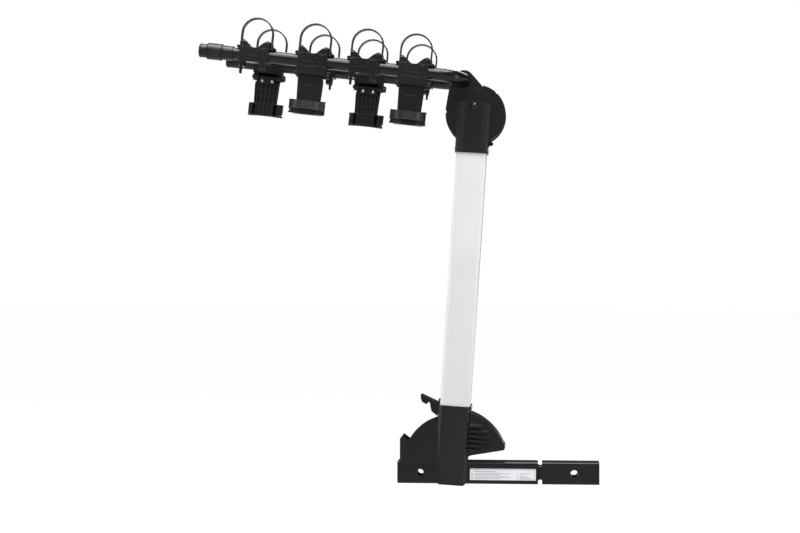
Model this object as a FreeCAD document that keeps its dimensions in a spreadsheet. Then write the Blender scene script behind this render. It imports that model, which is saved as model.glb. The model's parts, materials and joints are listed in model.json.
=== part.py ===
"""Hitch mounted bike rack: leaning aluminium mast, fold-down twin arms, four carrying stations.

Row frame: origin at the centre of the hitch pin hole in the shank, +X towards the vehicle,
+Z up, so the arms reach out towards -X.  All sizes are in millimetres and degrees.
"""
import math
import os

import FreeCAD
import Part
import Sketcher

os.makedirs("parts", exist_ok=True)

DIMENSIONS = [
    # hitch tube, shank and sleeve
    ("tube_side", 50.8), ("tube_wall", 4.0), ("tube_corner", 5.0),
    ("tube_rear", -401.2), ("tube_front", -82.0), ("plug_flange", 2.5),
    ("lock_hole_x", -351.0), ("lock_hole", 15.6),
    ("shank_side", 31.75), ("shank_wall", 5.0), ("shank_rear", -160.0), ("shank_front", 57.0),
    ("sleeve_side", 50.4), ("sleeve_bore", 32.3), ("sleeve_rear", -73.0), ("pin_hole", 16.7),
    ("label_rear", -237.0), ("label_front", -87.0), ("label_height", 26.0), ("label_middle", -3.0),
    # tilt pivot and quadrants
    ("pivot_x", -280.0), ("pivot_z", 15.0), ("pivot_rod", 12.7), ("bush_outer", 18.0),
    ("quad_radius", 114.0), ("quad_thick", 4.0), ("quad_bottom", 19.5), ("quad_rear", -397.3),
    # mast
    ("mast_lean", 3.7), ("mast_reach", 809.0), ("mast_half_x", 34.5), ("mast_half_y", 37.0),
    ("mast_wall", 3.5), ("slot_half", 30.5), ("fork_skin", 1.7), ("head_skin", 3.0),
    ("fork_bottom", -42.0), ("fork_top", 138.5), ("fork_slot_top", 117.0),
    ("head_bottom", -92.0), ("head_top", 28.5), ("head_slot_bottom", -73.0),
    ("guard_radius", 130.5), ("guard_half_y", 35.0), ("guard_wall", 2.6),
    # tilt lever
    ("lever_pin_x", -6.0), ("lever_pin_z", 131.0), ("lever_half_y", 25.0), ("lever_sheet", 3.0),
    ("bar_window_top", 128.5), ("bar_angle", 105.7), ("bar_radius", 5.0), ("bar_orbit", 119.5),
    # arm hub
    ("axle_x", 4.13), ("axle_z", -4.1),
    ("hub_rod", 14.0), ("disc_radius", 68.6), ("disc_inner_y", 23.6), ("disc_thick", 6.4),
    ("disc_flat", 56.4), ("plate_inner_y", 18.2), ("plate_thick", 5.0), ("barrel_outer", 40.0),
    ("latch_pin_x", 14.0), ("latch_pin_z", -88.0),
    # arms
    ("arm_rise", 6.3), ("arm_offset", 72.0), ("arm_half_gap", 90.0), ("arm_outer", 28.6),
    ("arm_wall", 2.5), ("arm_bend", 60.0), ("arm_cross_x", -31.0), ("arm_end_x", -597.5),
    ("ring_start", -554.2), ("barrel_start", -580.3), ("cap_start", -614.0), ("cap_end", -633.0),
    # saddles
    ("saddle_half", 34.0), ("saddle_leg", 12.0), ("saddle_side", 18.5), ("wing_top", 34.0),
    ("wing_side", 16.0), ("valley", 17.0), ("sway_pin_z", -29.0), ("hook_half_y", 11.0),
    ("strap_half_y", 8.0), ("strap_thick", 3.0), ("strap_radius", 36.5), ("strap_top", 86.0),
    ("strap_centre_x", 1.5), ("strap_pin_x", -30.0), ("strap_pin_z", 28.0), ("strap_end_z", 17.6),
    # anti-sway cradles
    ("sway_bottom", -120.5), ("sway_wing", 33.6), ("sway_height", 30.5), ("sway_pin_x", -37.9),
    ("sway_pin_y", -17.0), ("loop_radius", 39.5), ("loop_thick", 3.2),
    ("loop_height", 17.6), ("loop_middle", -102.8),
]
# Saddle centres along each arm, from its outer end inwards; the saddles clamp anywhere on the tube.
STATIONS = {-1: (-505.5, -372.0, -253.5, -142.5), 1: (-500.5, -374.0, -259.0, -142.5)}
SWAY_STATIONS = ((1, -1), (3, -1), (0, 1), (2, 1))
SIDES = ((-1, "near"), (1, "far"))

doc = FreeCAD.newDocument("bike_rack")
sheet = doc.addObject("Spreadsheet::Sheet", "dims")
for row, (alias, size) in enumerate(DIMENSIONS, start=1):
    sheet.set("A%d" % row, alias)
    sheet.set("B%d" % row, str(size))
    sheet.setAlias("B%d" % row, alias)

# The hub's axle, given in the mast's frame, as seen in the frame of the arms.
TURN = "(arm_rise - mast_lean) * 1 deg"
HUB_OFFSETS = (("hub_x", "=axle_x * cos(%s) - axle_z * sin(%s)" % (TURN, TURN)),
               ("hub_z", "=axle_z * cos(%s) + axle_x * sin(%s)" % (TURN, TURN)))
for row, (alias, formula) in enumerate(HUB_OFFSETS, start=len(DIMENSIONS) + 1):
    sheet.set("A%d" % row, alias)
    sheet.set("B%d" % row, formula)
    sheet.setAlias("B%d" % row, alias)
doc.recompute()


def number(expression):
    """The value of a spreadsheet expression, as a plain number."""
    return float(sheet.evalExpression(str(expression)))


def pick(edges, rule):
    """Names of the edges whose two end points both satisfy the rule."""
    names = []
    for index, edge in enumerate(edges, start=1):
        if all(rule(vertex.Point) for vertex in edge.Vertexes):
            names.append("Edge%d" % index)
    return names


# ---- sketches and features -------------------------------------------------------------

def bind(sketch, kind, geometry, position, expression):
    """Constrain one coordinate of a point, or a radius, to a spreadsheet expression."""
    if kind == "Radius":
        constraint = Sketcher.Constraint(kind, geometry, number(expression))
    else:
        constraint = Sketcher.Constraint(kind, -1, 1, geometry, position, number(expression))
    index = sketch.addConstraint(constraint)
    sketch.setExpression("Constraints[%d]" % index, str(expression))


def arc_side(start, end, radius):
    """Minor arc from start to end: anticlockwise for a positive radius, else clockwise."""
    chord = end - start
    middle = (start + end) * 0.5
    rise = math.sqrt(max(radius * radius - chord.Length ** 2 / 4.0, 0.0))
    left = FreeCAD.Vector(-chord.y, chord.x, 0).normalize()
    centre = middle + left * (rise if radius > 0 else -rise)
    first, last = (start, end) if radius > 0 else (end, start)
    angles = [math.atan2(p.y - centre.y, p.x - centre.x) for p in (first, last)]
    if angles[1] < angles[0]:
        angles[1] += 2 * math.pi
    circle = Part.Circle(centre, FreeCAD.Vector(0, 0, 1), abs(radius))
    return Part.ArcOfCircle(circle, angles[0], angles[1])


def draw(sketch, outline, closed=True):
    """Sides between vertices (x, y) or (x, y, radius); a radius curves the side that follows."""
    count = len(outline)
    points = [FreeCAD.Vector(number(v[0]), number(v[1]), 0) for v in outline]
    sides = count if closed else count - 1
    ends = []
    for index in range(sides):
        start, end = points[index], points[(index + 1) % count]
        if len(outline[index]) > 2:
            radius = number(outline[index][2])
            geometry = sketch.addGeometry(arc_side(start, end, radius))
            ends.append((geometry, 1, 2) if radius > 0 else (geometry, 2, 1))
            bind(sketch, "Radius", geometry, 0, "abs(%s)" % outline[index][2])
        else:
            geometry = sketch.addGeometry(Part.LineSegment(start, end))
            ends.append((geometry, 1, 2))
    for index, (geometry, first, last) in enumerate(ends):
        bind(sketch, "DistanceX", geometry, first, outline[index][0])
        bind(sketch, "DistanceY", geometry, first, outline[index][1])
        if closed or index + 1 < sides:
            following, start = ends[(index + 1) % sides][:2]
            sketch.addConstraint(Sketcher.Constraint("Coincident", geometry, last, following, start))
    if not closed:
        geometry, _, last = ends[-1]
        bind(sketch, "DistanceX", geometry, last, outline[-1][0])
        bind(sketch, "DistanceY", geometry, last, outline[-1][1])


def draw_circle(sketch, x, y, radius):
    centre = FreeCAD.Vector(number(x), number(y), 0)
    geometry = sketch.addGeometry(Part.Circle(centre, FreeCAD.Vector(0, 0, 1), number(radius)))
    bind(sketch, "DistanceX", geometry, 3, x)
    bind(sketch, "DistanceY", geometry, 3, y)
    bind(sketch, "Radius", geometry, 0, radius)


def sketch_on(body, name, plane, offset="0"):
    """Empty sketch on one of the body's own origin planes, moved along that plane's normal."""
    sketch = body.newObject("Sketcher::SketchObject", name)
    support = [f for f in body.Origin.OriginFeatures if f.Role == plane + "_Plane"][0]
    sketch.AttachmentSupport = (support, [""])
    sketch.MapMode = "FlatFace"
    sketch.setExpression("AttachmentOffset.Base.z", str(offset))
    return sketch


def prism(body, name, plane, loops, middle, length, cut=False):
    """Pad or pocket of closed loops, centred on the coordinate `middle` across the plane.

    A loop is a list of vertices, or ("circle", x, y, radius).
    """
    offset = "-(%s)" % middle if plane == "XZ" else middle
    sketch = sketch_on(body, body.Label + "_" + name + "_sketch", plane, offset)
    for loop in loops:
        if loop[0] == "circle":
            draw_circle(sketch, *loop[1:])
        else:
            draw(sketch, loop)
    kind = "PartDesign::Pocket" if cut else "PartDesign::Pad"
    feature = body.newObject(kind, body.Label + "_" + name)
    feature.Profile = sketch
    feature.SideType = "Symmetric"
    feature.setExpression("Length", str(length))
    sketch.Visibility = False
    return feature


def cut(body, name, plane, loops, middle, length):
    return prism(body, name, plane, loops, middle, length, cut=True)


def dress(body, kind, name, size, rule):
    """Fillet or chamfer on the edges of the tip whose ends satisfy the rule."""
    doc.recompute()
    tip = body.Tip
    feature = body.newObject("PartDesign::" + kind, body.Label + "_" + name)
    feature.Base = (tip, pick(tip.Shape.Edges, rule))
    setattr(feature, "Radius" if kind == "Fillet" else "Size", size)
    return feature


PARTS = []


def new_body(label, frame=None):
    body = doc.addObject("PartDesign::Body", label)
    body.Label = label
    PARTS.append((body, frame))
    return body


def group(label, solids, frame=None):
    """Several separate solids of one kind, kept as one node."""
    feature = doc.addObject("Part::Feature", label)
    feature.Label = label
    feature.Shape = Part.makeCompound(solids) if len(solids) > 1 else solids[0]
    PARTS.append((feature, frame))
    return feature


def rect(x0, y0, x1, y1):
    return [(x0, y0), (x1, y0), (x1, y1), (x0, y1)]


def rounded(half_x, half_y, radius):
    """Rectangle centred on the sketch origin with rounded corners."""
    h, v, r = "(%s)" % half_x, "(%s)" % half_y, "(%s)" % radius
    return [("%s - %s" % (r, h), "-%s" % v), ("%s - %s" % (h, r), "-%s" % v, r),
            (h, "%s - %s" % (r, v)), (h, "%s - %s" % (v, r), r),
            ("%s - %s" % (h, r), v), ("%s - %s" % (r, h), v, r),
            ("-%s" % h, "%s - %s" % (v, r)), ("-%s" % h, "%s - %s" % (r, v), r)]


def cylinder(x, y, z, radius, length, direction):
    """Solid cylinder centred on a point, along a direction."""
    axis = FreeCAD.Vector(*direction)
    start = FreeCAD.Vector(x, y, z) - axis * (length / 2.0)
    return Part.makeCylinder(radius, length, start, axis)


# ---- frames ----------------------------------------------------------------------------

def frame_at(x, y, z, pitch, turn=0.0):
    """Frame at a point, pitched about +Y and first turned about its own +Z."""
    tilt = FreeCAD.Rotation(FreeCAD.Vector(0, 1, 0), pitch)
    spin = FreeCAD.Rotation(FreeCAD.Vector(0, 0, 1), turn)
    return FreeCAD.Placement(FreeCAD.Vector(x, y, z), tilt.multiply(spin))


MAST = frame_at(number("dims.pivot_x"), 0, number("dims.pivot_z"), number("dims.mast_lean"))
HUB_POINT = MAST.multVec(FreeCAD.Vector(0, 0, number("dims.mast_reach")))
HEAD = frame_at(HUB_POINT.x, 0, HUB_POINT.z, number("dims.mast_lean"))
ARMS = frame_at(HUB_POINT.x, 0, HUB_POINT.z, number("dims.arm_rise"))
AXLE_POINT = HEAD.multVec(FreeCAD.Vector(number("dims.axle_x"), 0, number("dims.axle_z")))
AXLE = frame_at(AXLE_POINT.x, 0, AXLE_POINT.z, number("dims.mast_lean"))


def station(index, side, turn=0.0):
    """Frame on an arm's centreline at one station; side is -1 near, +1 far."""
    local = FreeCAD.Vector(STATIONS[side][index], side * number("dims.arm_half_gap"),
                           number("dims.arm_offset"))
    point = ARMS.multVec(local)
    return frame_at(point.x, point.y, point.z, number("dims.arm_rise"), turn)


# ---- hitch: tube, shank, sleeve, plates ------------------------------------------------

def hitch_tube():
    body = new_body("hitch_tube")
    half = "dims.tube_side / 2"
    inner = "dims.tube_side / 2 - dims.tube_wall"
    middle = "(dims.tube_rear + dims.tube_front) / 2"
    length = "dims.tube_front - dims.tube_rear"
    loops = [rounded(half, half, "dims.tube_corner"), rounded(inner, inner, "dims.tube_corner - 3.5")]
    prism(body, "wall", "YZ", loops, middle, length)
    cut(body, "lock_hole", "XZ", [("circle", "dims.lock_hole_x", "0", "dims.lock_hole / 2")], "0", "60")
    cut(body, "pivot_hole", "XZ",
        [("circle", "dims.pivot_x", "dims.pivot_z", "dims.pivot_rod / 2")], "0", "60")


def rear_plug():
    body = new_body("rear_plug")
    inner = "dims.tube_side / 2 - dims.tube_wall - 0.1"
    half = "dims.tube_side / 2"
    prism(body, "flange", "YZ", [rounded(half, half, "dims.tube_corner")],
          "dims.tube_rear - dims.plug_flange / 2", "dims.plug_flange")
    prism(body, "spigot", "YZ", [rounded(inner, inner, "2"),
                                 rounded(inner + " - 2.5", inner + " - 2.5", "1")],
          "dims.tube_rear + 7", "14")
    dress(body, "Fillet", "edge", 1.6, lambda p: p.x < number("dims.tube_rear - dims.plug_flange") + 0.01)


def hitch_shank():
    body = new_body("hitch_shank")
    half = "dims.shank_side / 2"
    inner = "dims.shank_side / 2 - dims.shank_wall"
    prism(body, "wall", "YZ", [rounded(half, half, "3"), rounded(inner, inner, "1")],
          "(dims.shank_rear + dims.shank_front) / 2", "dims.shank_front - dims.shank_rear")
    cut(body, "pin_hole", "XZ", [("circle", "0", "0", "dims.pin_hole / 2")], "0", "60")
    cut(body, "lead_in", "XZ", [[("dims.shank_front - 4", "18"), ("dims.shank_front + 1", "18"),
                                 ("dims.shank_front + 1", "dims.shank_side / 2 - 4")]], "0", "60")


def weld_plate():
    """Plate that closes the tube's front end and carries the shank."""
    body = new_body("shank_weld_plate")
    outer = "dims.tube_side / 2 - dims.tube_wall"
    hole = "dims.shank_side / 2"
    prism(body, "plate", "YZ", [rounded(outer, outer, "1.5"), rounded(hole, hole, "3")],
          "dims.tube_front - 5", "8")


def adapter_sleeve():
    body = new_body("adapter_sleeve")
    outer = "dims.sleeve_side / 2"
    inner = "dims.sleeve_bore / 2"
    prism(body, "wall", "YZ", [rounded(outer, outer, "4"), rounded(inner, inner, "3")],
          "(dims.sleeve_rear + dims.shank_front) / 2", "dims.shank_front - dims.sleeve_rear")
    cut(body, "pin_hole", "XZ", [("circle", "0", "0", "dims.pin_hole / 2")], "0", "60")


def label_plate():
    body = new_body("info_label")
    loop = [("dims.label_rear", "dims.label_middle - dims.label_height / 2"),
            ("dims.label_front", "dims.label_middle - dims.label_height / 2"),
            ("dims.label_front", "dims.label_middle + dims.label_height / 2"),
            ("dims.label_rear", "dims.label_middle + dims.label_height / 2")]
    prism(body, "sheet", "XZ", [loop], "-dims.tube_side / 2 - 0.2", "0.4")


def quadrant_plate(label, side):
    """Locking quadrant with its upright notch, tilted notch and stop peak."""
    body = new_body(label)
    px, pz, radius = "dims.pivot_x", "dims.pivot_z", "dims.quad_radius"
    arc_end = "148.9 deg"
    loop = [("dims.quad_rear", "dims.quad_bottom"), (px + " - 32", "dims.quad_bottom"),
            (px + " - 32", pz + " - 18"), (px + " + 20", pz + " - 18"),
            (px + " + 20", "%s + sqrt(%s ^ 2 - 400)" % (pz, radius), radius),
            ("%s + %s * cos(%s)" % (px, radius, arc_end), "%s + %s * sin(%s)" % (pz, radius, arc_end)),
            (px + " - 111.2", pz + " + 69.5"), ("dims.quad_rear", pz + " + 63")]
    middle = "%d * (dims.tube_side / 2 + dims.quad_thick / 2)" % side
    prism(body, "plate", "XZ", [loop], middle, "dims.quad_thick")
    upright = "(dims.bar_angle - dims.mast_lean) * 1 deg"
    notch = ("circle", "%s + 113.5 * cos(%s)" % (px, upright), "%s + 113.5 * sin(%s)" % (pz, upright),
             "5.6")
    cut(body, "notch", "XZ", [notch], middle, "dims.quad_thick + 2")
    cut(body, "pivot_hole", "XZ", [("circle", px, pz, "dims.pivot_rod / 2")], middle, "dims.quad_thick + 2")


def pivot_shaft():
    body = new_body("pivot_shaft")
    prism(body, "rod", "XZ", [("circle", "dims.pivot_x", "dims.pivot_z", "dims.pivot_rod / 2")],
          "0", "2 * dims.mast_half_y - 0.4")


# ---- mast ------------------------------------------------------------------------------

def mast_loop(grow):
    """Mast section: flat faces joined by two shallow bevels at each corner."""
    g = "(%s)" % grow
    flat, bend, knee = "(18 + 0.4 * %s)" % g, "(28.4 + 0.7 * %s)" % g, "(35.2 + 0.9 * %s)" % g
    half_x, half_y = "(dims.mast_half_x + %s)" % g, "(dims.mast_half_y + %s)" % g
    side = "(dims.slot_half + 0.4 + 0.8 * %s)" % g
    quarter = [(flat, half_y), (bend, knee), (half_x, side)]
    loop = [(x, "-" + y) for x, y in quarter]
    loop += [(x, y) for x, y in reversed(quarter)]
    loop += [("-" + x, y) for x, y in quarter]
    loop += [("-" + x, "-" + y) for x, y in reversed(quarter)]
    return loop


# The rear edges of the mast's lower end stand upright, so they taper in towards the pivot.
REAR_TAPER = [("-60", "-50"), ("-26.8", "-50"), ("-36.4", "112"), ("-60", "112")]


def mast_tube():
    body = new_body("mast_tube", MAST)
    bottom, top = "(dims.fork_bottom + 3)", "(dims.mast_reach + 6)"
    middle, length = "(%s + %s) / 2" % (bottom, top), "%s - %s" % (top, bottom)
    prism(body, "wall", "XY", [mast_loop("0"), mast_loop("-dims.mast_wall")], middle, length)
    low = rect("-60", "dims.fork_bottom - 5", "60", "dims.fork_slot_top")
    cut(body, "fork_slot", "XZ", [low], "0", "2 * dims.slot_half")
    high = rect("-60", "dims.mast_reach + dims.head_slot_bottom", "60", "dims.mast_reach + 40")
    cut(body, "head_slot", "XZ", [high], "0", "2 * dims.slot_half")
    cut(body, "lever_window", "XZ", [rect("-60", "100", "-20", "166")], "0", "2 * dims.lever_half_y + 3")
    cut(body, "bar_window", "XZ", [rect("-60", "105", "-20", "dims.bar_window_top")], "0",
        "2 * dims.slot_half")
    cut(body, "latch_window", "XZ",
        [rect("20", "dims.mast_reach - 88", "60", "dims.mast_reach - 70")], "0", "16")
    cut(body, "pivot_hole", "XZ", [("circle", "0", "0", "dims.bush_outer / 2")], "0", "90")
    cut(body, "hub_hole", "XZ",
        [("circle", "dims.axle_x", "dims.mast_reach + dims.axle_z", "dims.bush_outer / 2")], "0", "90")
    cut(body, "lever_pin_hole", "XZ", [("circle", "dims.lever_pin_x", "dims.lever_pin_z", "4")], "0", "90")
    cut(body, "latch_pin_hole", "XZ",
        [("circle", "dims.latch_pin_x", "dims.mast_reach + dims.latch_pin_z", "3")], "0", "90")
    cut(body, "rear_taper", "XZ", [REAR_TAPER], "0", "100")


def mast_fork():
    body = new_body("mast_fork", MAST)
    middle, length = "(dims.fork_bottom + dims.fork_top) / 2", "dims.fork_top - dims.fork_bottom"
    prism(body, "skin", "XY", [mast_loop("dims.fork_skin"), mast_loop("0.05")], middle, length)
    floor = rect("-60", "dims.fork_bottom - 5", "60", "dims.fork_slot_top")
    cut(body, "fork_slot", "XZ", [floor], "0", "2 * dims.slot_half")
    cut(body, "lever_window", "XZ", [rect("-60", "100", "-20", "166")], "0", "2 * dims.lever_half_y + 3")
    cut(body, "bar_window", "XZ", [rect("-60", "105", "-20", "dims.bar_window_top")], "0",
        "2 * dims.slot_half")
    for name, sign in (("rear_ear", -1), ("front_ear", 1)):
        tall = 16 if sign < 0 else 3
        loop = [("%g" % (sign * 34.6), "dims.fork_top - 9.5"),
                ("%g" % (sign * 38.0), "dims.fork_top - 9.5"),
                ("%g" % (sign * 38.0), "dims.fork_top + %d - 5" % tall),
                ("%g" % (sign * 36.2), "dims.fork_top + %d" % tall),
                ("%g" % (sign * 34.6), "dims.fork_top + %d" % tall)]
        loop = [(x, y) for x, y in (loop if sign > 0 else reversed(loop))]
        prism(body, name + "_near", "XZ", [loop], "-(dims.slot_half - 1)", "5")
        prism(body, name + "_far", "XZ", [loop], "dims.slot_half - 1", "5")
    for sign in (-1, 1):
        side = "%d * (dims.mast_half_x + dims.fork_skin)" % sign
        inner_x, outer_x = side + " - %d" % (sign * 7), side + " + %d" % sign
        corner = [(inner_x, "dims.fork_bottom - 1"), (outer_x, "dims.fork_bottom - 1"),
                  (outer_x, "dims.fork_bottom + 7")]
        cut(body, "foot_%d" % (sign + 1), "XZ", [corner if sign > 0 else corner[::-1]], "0", "100")
    cut(body, "rear_taper", "XZ", [REAR_TAPER], "0", "100")


def mast_head():
    body = new_body("mast_head", HEAD)
    middle, length = "(dims.head_bottom + dims.head_top) / 2", "dims.head_top - dims.head_bottom"
    prism(body, "skin", "XY", [mast_loop("dims.head_skin")], middle, length)
    cut(body, "socket", "XY", [mast_loop("0.05")], "-67.5", "147.1")
    cut(body, "arm_slot", "XZ", [rect("-60", "dims.head_slot_bottom", "60", "60")], "0",
        "2 * dims.slot_half")
    cut(body, "latch_window", "XZ", [rect("20", "-88", "60", "-70")], "0", "16")
    crown = [("-45", "20.5"), ("-37.5", "20.5", "-97.5"), ("0", "dims.head_top - 0.5", "-97.5"),
             ("37.5", "20.5"),
             ("45", "20.5"), ("45", "60"), ("-45", "60")]
    cut(body, "crown", "XZ", [crown], "0", "100")


def fan_guard():
    """Hollow sector in front of the mast that covers the quadrants when the mast tilts."""
    body = new_body("fan_guard", MAST)
    front = "(dims.mast_half_x + dims.fork_skin + 0.1)"
    radius = "dims.guard_radius"
    tip_low = ("(%s - 5.5) * cos(20.5 deg)" % radius, "(%s - 5.5) * sin(20.5 deg) + 2" % radius)
    outline = [(front, "24"), (front + " + 7", "28.5"), tip_low + ("9",),
               ("%s * cos(27.5 deg)" % radius, "%s * sin(27.5 deg)" % radius, radius),
               (front, "sqrt(%s ^ 2 - %s ^ 2)" % (radius, front))]
    prism(body, "shell", "XZ", [outline], "0", "2 * dims.guard_half_y")
    inner = "(%s - dims.guard_wall)" % radius
    hollow = [(front + " - 1", "10"), ("%s * cos(26.5 deg)" % inner, "10"),
              ("%s * cos(26.5 deg)" % inner, "%s * sin(26.5 deg)" % inner, inner),
              (front + " - 1", "sqrt(%s ^ 2 - (%s - 1) ^ 2)" % (inner, front))]
    cut(body, "hollow", "XZ", [hollow], "0", "2 * (dims.guard_half_y - dims.guard_wall)")
    for index in range(6):
        base = 41.5 + 11.2 * index
        reach = (20, 27, 33, 35, 33, 26)[index]
        rib = [(front, "%g" % base), (front + " + %d" % reach, "%g" % (base + 1.2)),
               (front, "%g" % (base + 2.6))]
        for name, side in (("near", -1), ("far", 1)):
            prism(body, "rib_%s_%d" % (name, index + 1), "XZ", [rib],
                  "%d * (dims.guard_half_y + 0.9)" % side, "2.2")
    rim = [("%s * cos(28 deg)" % radius, "%s * sin(28 deg)" % radius, radius),
           (front + " + 1", "sqrt(%s ^ 2 - (%s + 1) ^ 2)" % (radius, front)),
           (front + " + 1", "sqrt((%s - 5) ^ 2 - (%s + 1) ^ 2)" % (radius, front), "5 - " + radius),
           ("(%s - 5) * cos(28 deg)" % radius, "(%s - 5) * sin(28 deg)" % radius)]
    for name, side in (("near", -1), ("far", 1)):
        prism(body, "rim_" + name, "XZ", [rim], "%d * (dims.guard_half_y + 0.5)" % side, "1.4")


def bushes(label, frame, shaft):
    """Nylon bushes between the mast walls and a shaft."""
    rod, outer = number(shaft) / 2 + 0.05, number("dims.bush_outer") / 2 - 0.02
    inner_y, outer_y = number("dims.slot_half") + 0.02, number("dims.mast_half_y") - 0.2
    solids = []
    for side in (-1, 1):
        middle = side * (inner_y + outer_y) / 2
        solid = cylinder(0, middle, 0, outer, outer_y - inner_y, (0, 1, 0))
        solids.append(solid.cut(cylinder(0, middle, 0, rod, 20, (0, 1, 0))))
    group(label, solids, frame)


def mast_screws():
    """Screw heads on the front wall of the fork and on the front and rear walls of the head."""
    reach = number("dims.mast_reach")
    fork, head = number("dims.mast_half_x + dims.fork_skin"), number("dims.mast_half_x + dims.head_skin")
    solids = []
    for x, z, y in ((fork, 133.5, 18.0), (head, reach - 83.0, 20.0), (-head, reach - 83.0, 20.0)):
        for side in (-1, 1):
            solids.append(cylinder(x + math.copysign(0.9, x), side * y, z, 4.4, 1.8, (1, 0, 0)))
    group("mast_screws", solids, MAST)


def head_button():
    """Domed cap of the screw that fixes the head's cheeks."""
    y = number("dims.mast_half_y + dims.head_skin")
    solids = []
    for side in (-1, 1):
        ball = Part.makeSphere(12.5, FreeCAD.Vector(0, side * (y - 8.2), 13))
        keep = Part.makeBox(30, 6, 30, FreeCAD.Vector(-15, y if side > 0 else -y - 6, -2))
        solids.append(ball.common(keep))
    group("head_buttons", solids, HEAD)


def cross_pin(label, frame, x, z, radius):
    body = new_body(label, frame)
    prism(body, "rod", "XZ", [("circle", x, z, radius)], "0", "2 * dims.mast_half_y - 0.4")


# ---- tilt lever ------------------------------------------------------------------------

def tilt_lever():
    """Folded sheet handle: two side plates and a top web, with a finger hook under its tip."""
    body = new_body("tilt_lever", MAST)
    side = [("-80.4", "158.2"), ("-79.2", "149.5"), ("-76", "142"), ("-66", "137"), ("-60.5", "142.8"),
            ("-58.5", "142"), ("-53.2", "122"), ("-35", "109.8"), ("-26", "108.6"), ("-22", "121"),
            ("dims.lever_pin_x + 1", "dims.lever_pin_z - 7"),
            ("dims.lever_pin_x + 8", "dims.lever_pin_z - 3"),
            ("dims.lever_pin_x + 8", "dims.lever_pin_z + 4"), ("dims.lever_pin_x", "dims.lever_pin_z + 8"),
            ("-35.1", "140.4")]
    prism(body, "blank", "XZ", [side], "0", "2 * dims.lever_half_y")
    inside = [("-90", "100"), ("40", "100"), ("40", "dims.lever_pin_z + 5"),
              ("dims.lever_pin_x - 1", "dims.lever_pin_z + 4.8"), ("-36.2", "137.2"), ("-90", "158.3")]
    cut(body, "channel", "XZ", [inside], "0", "2 * (dims.lever_half_y - dims.lever_sheet)")
    cut(body, "pin_hole", "XZ", [("circle", "dims.lever_pin_x", "dims.lever_pin_z", "4.06")], "0", "80")
    bar = ("circle", "dims.bar_orbit * cos(dims.bar_angle * 1 deg)",
           "dims.bar_orbit * sin(dims.bar_angle * 1 deg)", "dims.bar_radius")
    cut(body, "bar_hole", "XZ", [bar], "0", "80")


def lock_bar():
    body = new_body("lock_bar", MAST)
    bar = ("circle", "dims.bar_orbit * cos(dims.bar_angle * 1 deg)",
           "dims.bar_orbit * sin(dims.bar_angle * 1 deg)", "dims.bar_radius")
    prism(body, "rod", "XZ", [bar], "0", "2 * dims.slot_half - 1")


# ---- arm hub and latch -----------------------------------------------------------------

def bracket_plate(label, side):
    body = new_body(label, ARMS)
    cx, cz = "dims.arm_cross_x", "dims.arm_offset"
    loop = [("-65.8", "1.5"), ("-38", "-44"), ("28", "-48"), ("40", "20"), ("12", "63.4"),
            (cx + " + 16.2", cz + " + 16.4", "23"), (cx + " - 17.5", cz + " + 15.2"), ("-62.8", "47.6")]
    middle = "%d * (dims.plate_inner_y + dims.plate_thick / 2)" % side
    prism(body, "plate", "XZ", [loop], middle, "dims.plate_thick")
    cut(body, "tube_hole", "XZ", [("circle", cx, cz, "dims.arm_outer / 2")], middle, "20")
    cut(body, "hub_hole", "XZ", [("circle", "dims.hub_x", "dims.hub_z", "dims.hub_rod / 2 + 3")],
        middle, "20")


def hub_barrel():
    """Tube welded between the bracket plates; it turns on the hub rod."""
    body = new_body("hub_barrel", ARMS)
    bore = ("circle", "dims.hub_x", "dims.hub_z", "dims.hub_rod / 2 + 0.06")
    outer = ("circle", "dims.hub_x", "dims.hub_z", "dims.barrel_outer / 2")
    spigot = ("circle", "dims.hub_x", "dims.hub_z", "dims.hub_rod / 2 + 3")
    prism(body, "tube", "XZ", [outer, bore], "0", "2 * dims.plate_inner_y")
    for side in (-1, 1):
        prism(body, "spigot_%d" % (side + 1), "XZ", [spigot, bore],
              "%d * (dims.plate_inner_y + 5.8)" % side, "11.6")


def hub_disc(label, side):
    """Round side cover with a flat that clears the arm tube and latch notches in its rim."""
    body = new_body(label, ARMS)
    middle = "%d * (dims.disc_inner_y + dims.disc_thick / 2)" % side
    cx, cz, radius = "dims.hub_x", "dims.hub_z", "dims.disc_radius"
    prism(body, "plate", "XZ", [("circle", cx, cz, radius), ("circle", cx, cz, "dims.hub_rod / 2 + 3")],
          middle, "dims.disc_thick")
    cut(body, "flat", "XZ", [rect("-90", "dims.disc_flat", "14", "90")], middle, "20")
    outer = "%d * (dims.disc_inner_y + dims.disc_thick)" % side
    cut(body, "dish", "XZ", [("circle", cx, cz, radius + " - 7"), ("circle", cx, cz, "20")], outer, "2.4")
    for name, angle, size in (("rest", 264.67, "4.6"), ("fold", 178.67, "4.6"), ("trim", 52.0, "2.6")):
        notch = ("circle", "%s + (%s + 1) * cos(%g deg)" % (cx, radius, angle),
                 "%s + (%s + 1) * sin(%g deg)" % (cz, radius, angle), size)
        cut(body, name + "_notch", "XZ", [notch], middle, "20")


def arm_latch():
    """Sprung latch under the hub: a nose bar across the discs and a tail out through the front."""
    body = new_body("arm_latch", HEAD)
    px, pz = "dims.latch_pin_x", "dims.latch_pin_z"
    nose = ("circle", "-6", "-76.8", "4")
    prism(body, "nose", "XZ", [nose], "0", "2 * dims.slot_half - 1.5")
    web = [(px + " - 4", pz + " - 5"), (px + " + 5", pz + " - 3"), (px + " + 3", pz + " + 6"),
           ("-4", "-73.8"), ("-9", "-79.2")]
    prism(body, "web", "XZ", [web], "0", "24")
    tail = [(px + " + 1", pz + " - 5"), (px + " + 6", pz + " - 1"), ("41.55", "-71.47"),
            ("38.45", "-67.53"),
            (px, pz + " + 6")]
    prism(body, "tail", "XZ", [tail], "0", "7")
    prism(body, "eye", "XZ", [("circle", px, pz, "6.2")], "0", "44")
    cut(body, "pin_hole", "XZ", [("circle", px, pz, "3.06")], "0", "80")


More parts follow.
